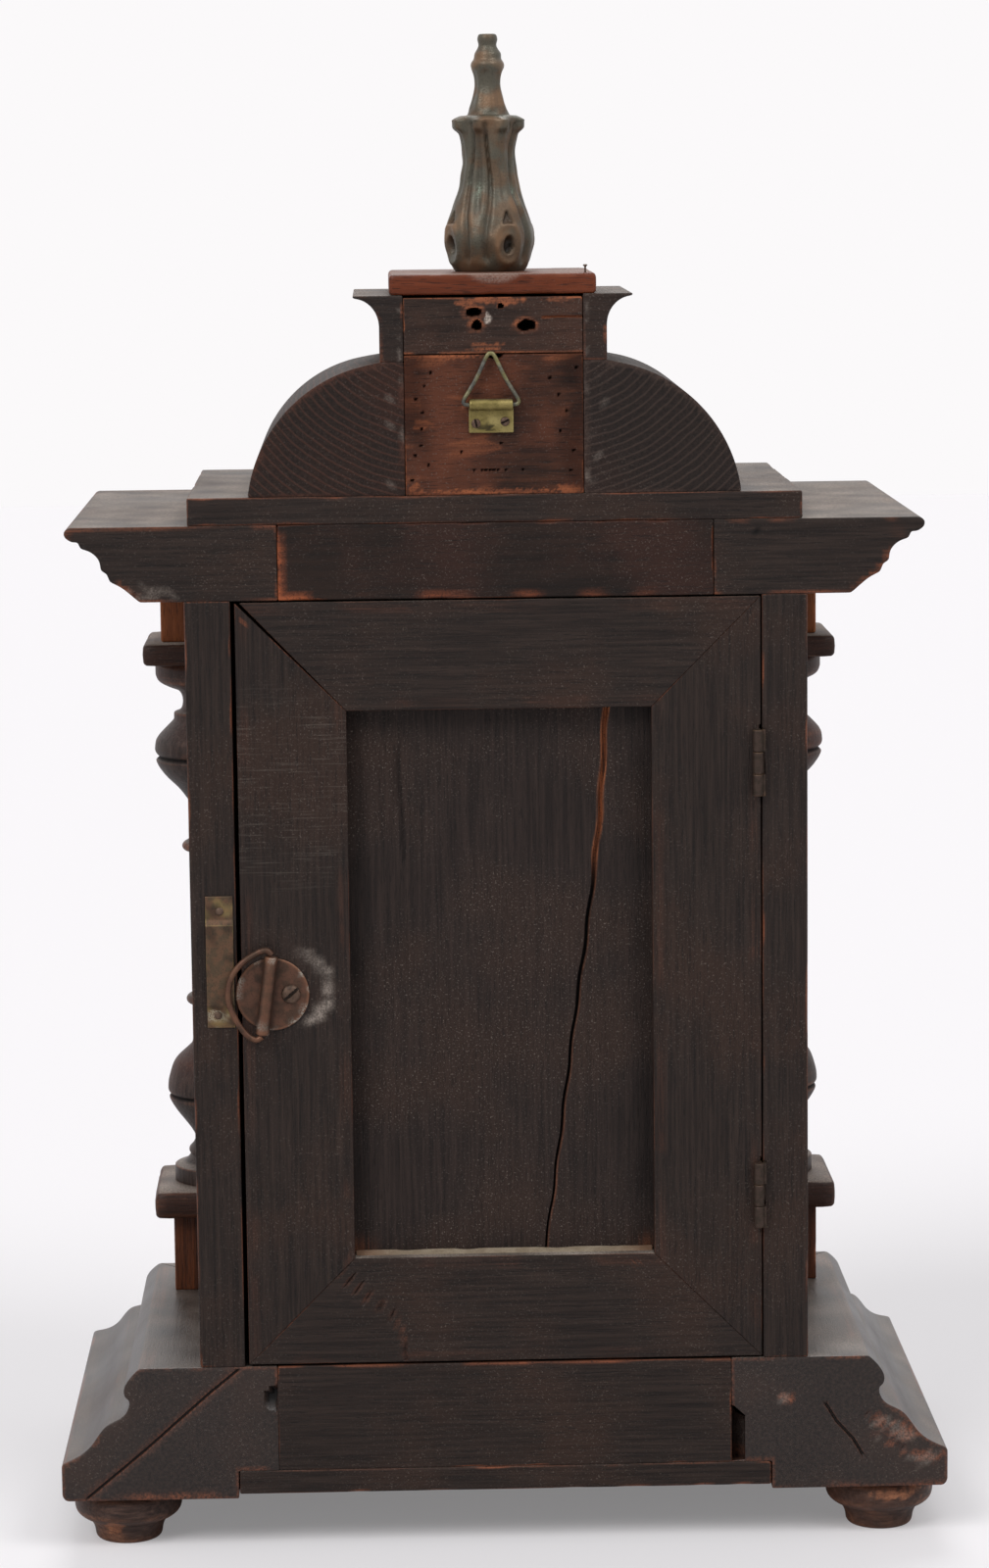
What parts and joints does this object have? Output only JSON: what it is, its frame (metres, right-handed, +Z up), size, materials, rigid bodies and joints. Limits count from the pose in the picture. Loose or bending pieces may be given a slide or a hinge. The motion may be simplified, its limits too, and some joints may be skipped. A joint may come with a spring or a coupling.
{
  "type": "bracket clock",
  "caption": "Dark-stained wooden bracket clock with moulded base, domed crown, metal finial, turned columns, glazed front door and panelled rear door.",
  "frame": {"origin": "on the ground under the middle of the clock's outline in plan, the latch and the front of the base included", "axes": "+Z up; the dial and the front door face -Y, the rear door faces +Y; +X is to the right as seen from the front"},
  "size_m": [0.278, 0.1604, 0.4695],
  "materials": {
    "ebonised_wood": "black-brown stain under worn, dusty polish",
    "brown_board": "unpolished reddish-brown softwood board",
    "walnut_block": "orange-brown polished block with dark edges",
    "mahogany": "polished red-brown board",
    "patinated_bronze": "cast alloy with brown-green patina",
    "tarnished_brass": "dull, darkened brass",
    "brass": "aged yellow brass",
    "steel": "grey worn steel",
    "zinc_wire": "dull grey wire with yellow plating left on its inner side",
    "glass": "clear flat glass",
    "enamel": "cream enamel",
    "blued_steel": "dark blued steel"
  },
  "bodies": {
    "case": {"base_moulding_left": "ebonised_wood", "base_moulding_right": "ebonised_wood", "base_moulding_front": "ebonised_wood", "base_back_rail": "ebonised_wood", "bottom_board": "brown_board", "foot_back_left": "ebonised_wood", "foot_back_right": "ebonised_wood", "foot_front_left": "ebonised_wood", "foot_front_right": "ebonised_wood", "side_board_left": "ebonised_wood", "side_board_right": "ebonised_wood", "cornice_moulding": "ebonised_wood", "back_top_rail": "ebonised_wood", "cornice_board": "ebonised_wood", "dome_moulding": "ebonised_wood", "cap_moulding": "ebonised_wood", "crown_board_lower": "brown_board", "crown_board_upper": "brown_board", "cap_board": "mahogany", "finial": "patinated_bronze", "pedestal_left": "walnut_block", "pedestal_right": "walnut_block", "column_left": "ebonised_wood", "column_right": "ebonised_wood", "capital_left": "walnut_block", "capital_right": "walnut_block", "upper_hinge_case_leaf": "tarnished_brass", "lower_hinge_case_leaf": "tarnished_brass", "keeper": "brass", "hanger_plate": "brass", "dial_mask": "ebonised_wood", "dial": "enamel", "front_plate": "brass", "back_plate": "brass", "suspension_cock": "brass"},
    "rear_door": {"door_rail_top": "ebonised_wood", "door_rail_bottom": "ebonised_wood", "door_stile_hinge": "ebonised_wood", "door_stile_latch": "ebonised_wood", "door_panel": "ebonised_wood", "upper_hinge_door_leaf": "tarnished_brass", "lower_hinge_door_leaf": "tarnished_brass", "turn_screw": "steel"},
    "turn_latch": {"turn_plate": "tarnished_brass"},
    "latch_ring": {"pull_ring": "tarnished_brass"},
    "wall_ring": {"hanger_ring": "zinc_wire"},
    "front_door": {"front_door_frame": "ebonised_wood", "front_door_glass": "glass"},
    "pendulum": {"pendulum_rod": "brass", "pendulum_bob": "brass"},
    "anchor": {"pallets": "steel"},
    "minute_train": {"centre_wheel": "brass", "minute_hand": "blued_steel"},
    "hour_train": {"hour_wheel": "brass", "hour_hand": "blued_steel"},
    "minute_work": {"minute_wheel": "brass"},
    "third_train": {"third_wheel": "brass"},
    "escape_train": {"escape_wheel": "brass"},
    "spring_barrel": {"barrel": "brass"},
    "winding": {"winding_arbor": "steel"}
  },
  "joints": [
    {"name": "rear_door_hinge", "type": "hinge", "parent": "case", "child": "rear_door", "pos_m": [-0.0796, 0.07675, 0.17995], "axis": [0, 0, 1], "range_deg": [0, 170]},
    {"name": "latch_turn", "type": "hinge", "parent": "rear_door", "child": "turn_latch", "pos_m": [0.0646, 0.0755, 0.1779], "axis": [0, 1, 0], "range_deg": [0, 180]},
    {"name": "pull_ring_swing", "type": "hinge", "parent": "turn_latch", "child": "latch_ring", "pos_m": [0.07195, 0.078, 0.1779], "axis": [-0.1296, 0, 0.9916], "range_deg": [0, 150]},
    {"name": "hanger_ring_swing", "type": "hinge", "parent": "case", "child": "wall_ring", "pos_m": [0.0009, 0.07675, 0.3583], "axis": [-1, 0, 0], "range_deg": [0, 170]},
    {"name": "front_door_hinge", "type": "hinge", "parent": "case", "child": "front_door", "pos_m": [-0.07, -0.02655, 0.1795], "axis": [0, 0, -1], "range_deg": [0, 90]},
    {"name": "pendulum_swing", "type": "hinge", "parent": "case", "child": "pendulum", "pos_m": [0, 0.05285, 0.26837], "axis": [0, 1, 0], "range_deg": [-5, 5]},
    {"name": "pallets_rock", "type": "hinge", "parent": "case", "child": "anchor", "pos_m": [0, 0.05285, 0.26837], "axis": [0, 1, 0], "range_deg": [-5, 5]},
    {"name": "minute_turn", "type": "hinge", "parent": "case", "child": "minute_train", "pos_m": [0, -0.006, 0.222], "axis": [0, 1, 0], "continuous": true},
    {"name": "hour_turn", "type": "hinge", "parent": "case", "child": "hour_train", "pos_m": [0, -0.006, 0.222], "axis": [0, 1, 0], "continuous": true},
    {"name": "minute_work_turn", "type": "hinge", "parent": "case", "child": "minute_work", "pos_m": [0.012, 0.004, 0.222], "axis": [0, 1, 0], "continuous": true},
    {"name": "third_turn", "type": "hinge", "parent": "case", "child": "third_train", "pos_m": [-0.01599, 0.02, 0.23799], "axis": [0, 1, 0], "continuous": true},
    {"name": "escape_turn", "type": "hinge", "parent": "case", "child": "escape_train", "pos_m": [0, 0.02, 0.24772], "axis": [0, 1, 0], "continuous": true},
    {"name": "barrel_turn", "type": "hinge", "parent": "case", "child": "spring_barrel", "pos_m": [0, 0.02, 0.1892], "axis": [0, 1, 0], "continuous": true},
    {"name": "winding_turn", "type": "hinge", "parent": "case", "child": "winding", "pos_m": [0, 0, 0.1892], "axis": [0, 1, 0], "continuous": true}
  ],
  "couplings": [
    {"joint": "pallets_rock", "follows": "pendulum_swing", "ratio": 1},
    {"joint": "hour_turn", "follows": "minute_turn", "ratio": 0.083333},
    {"joint": "minute_work_turn", "follows": "minute_turn", "ratio": -0.33333},
    {"joint": "third_turn", "follows": "minute_turn", "ratio": -12},
    {"joint": "escape_turn", "follows": "minute_turn", "ratio": 132},
    {"joint": "barrel_turn", "follows": "minute_turn", "ratio": -0.11111}
  ]
}
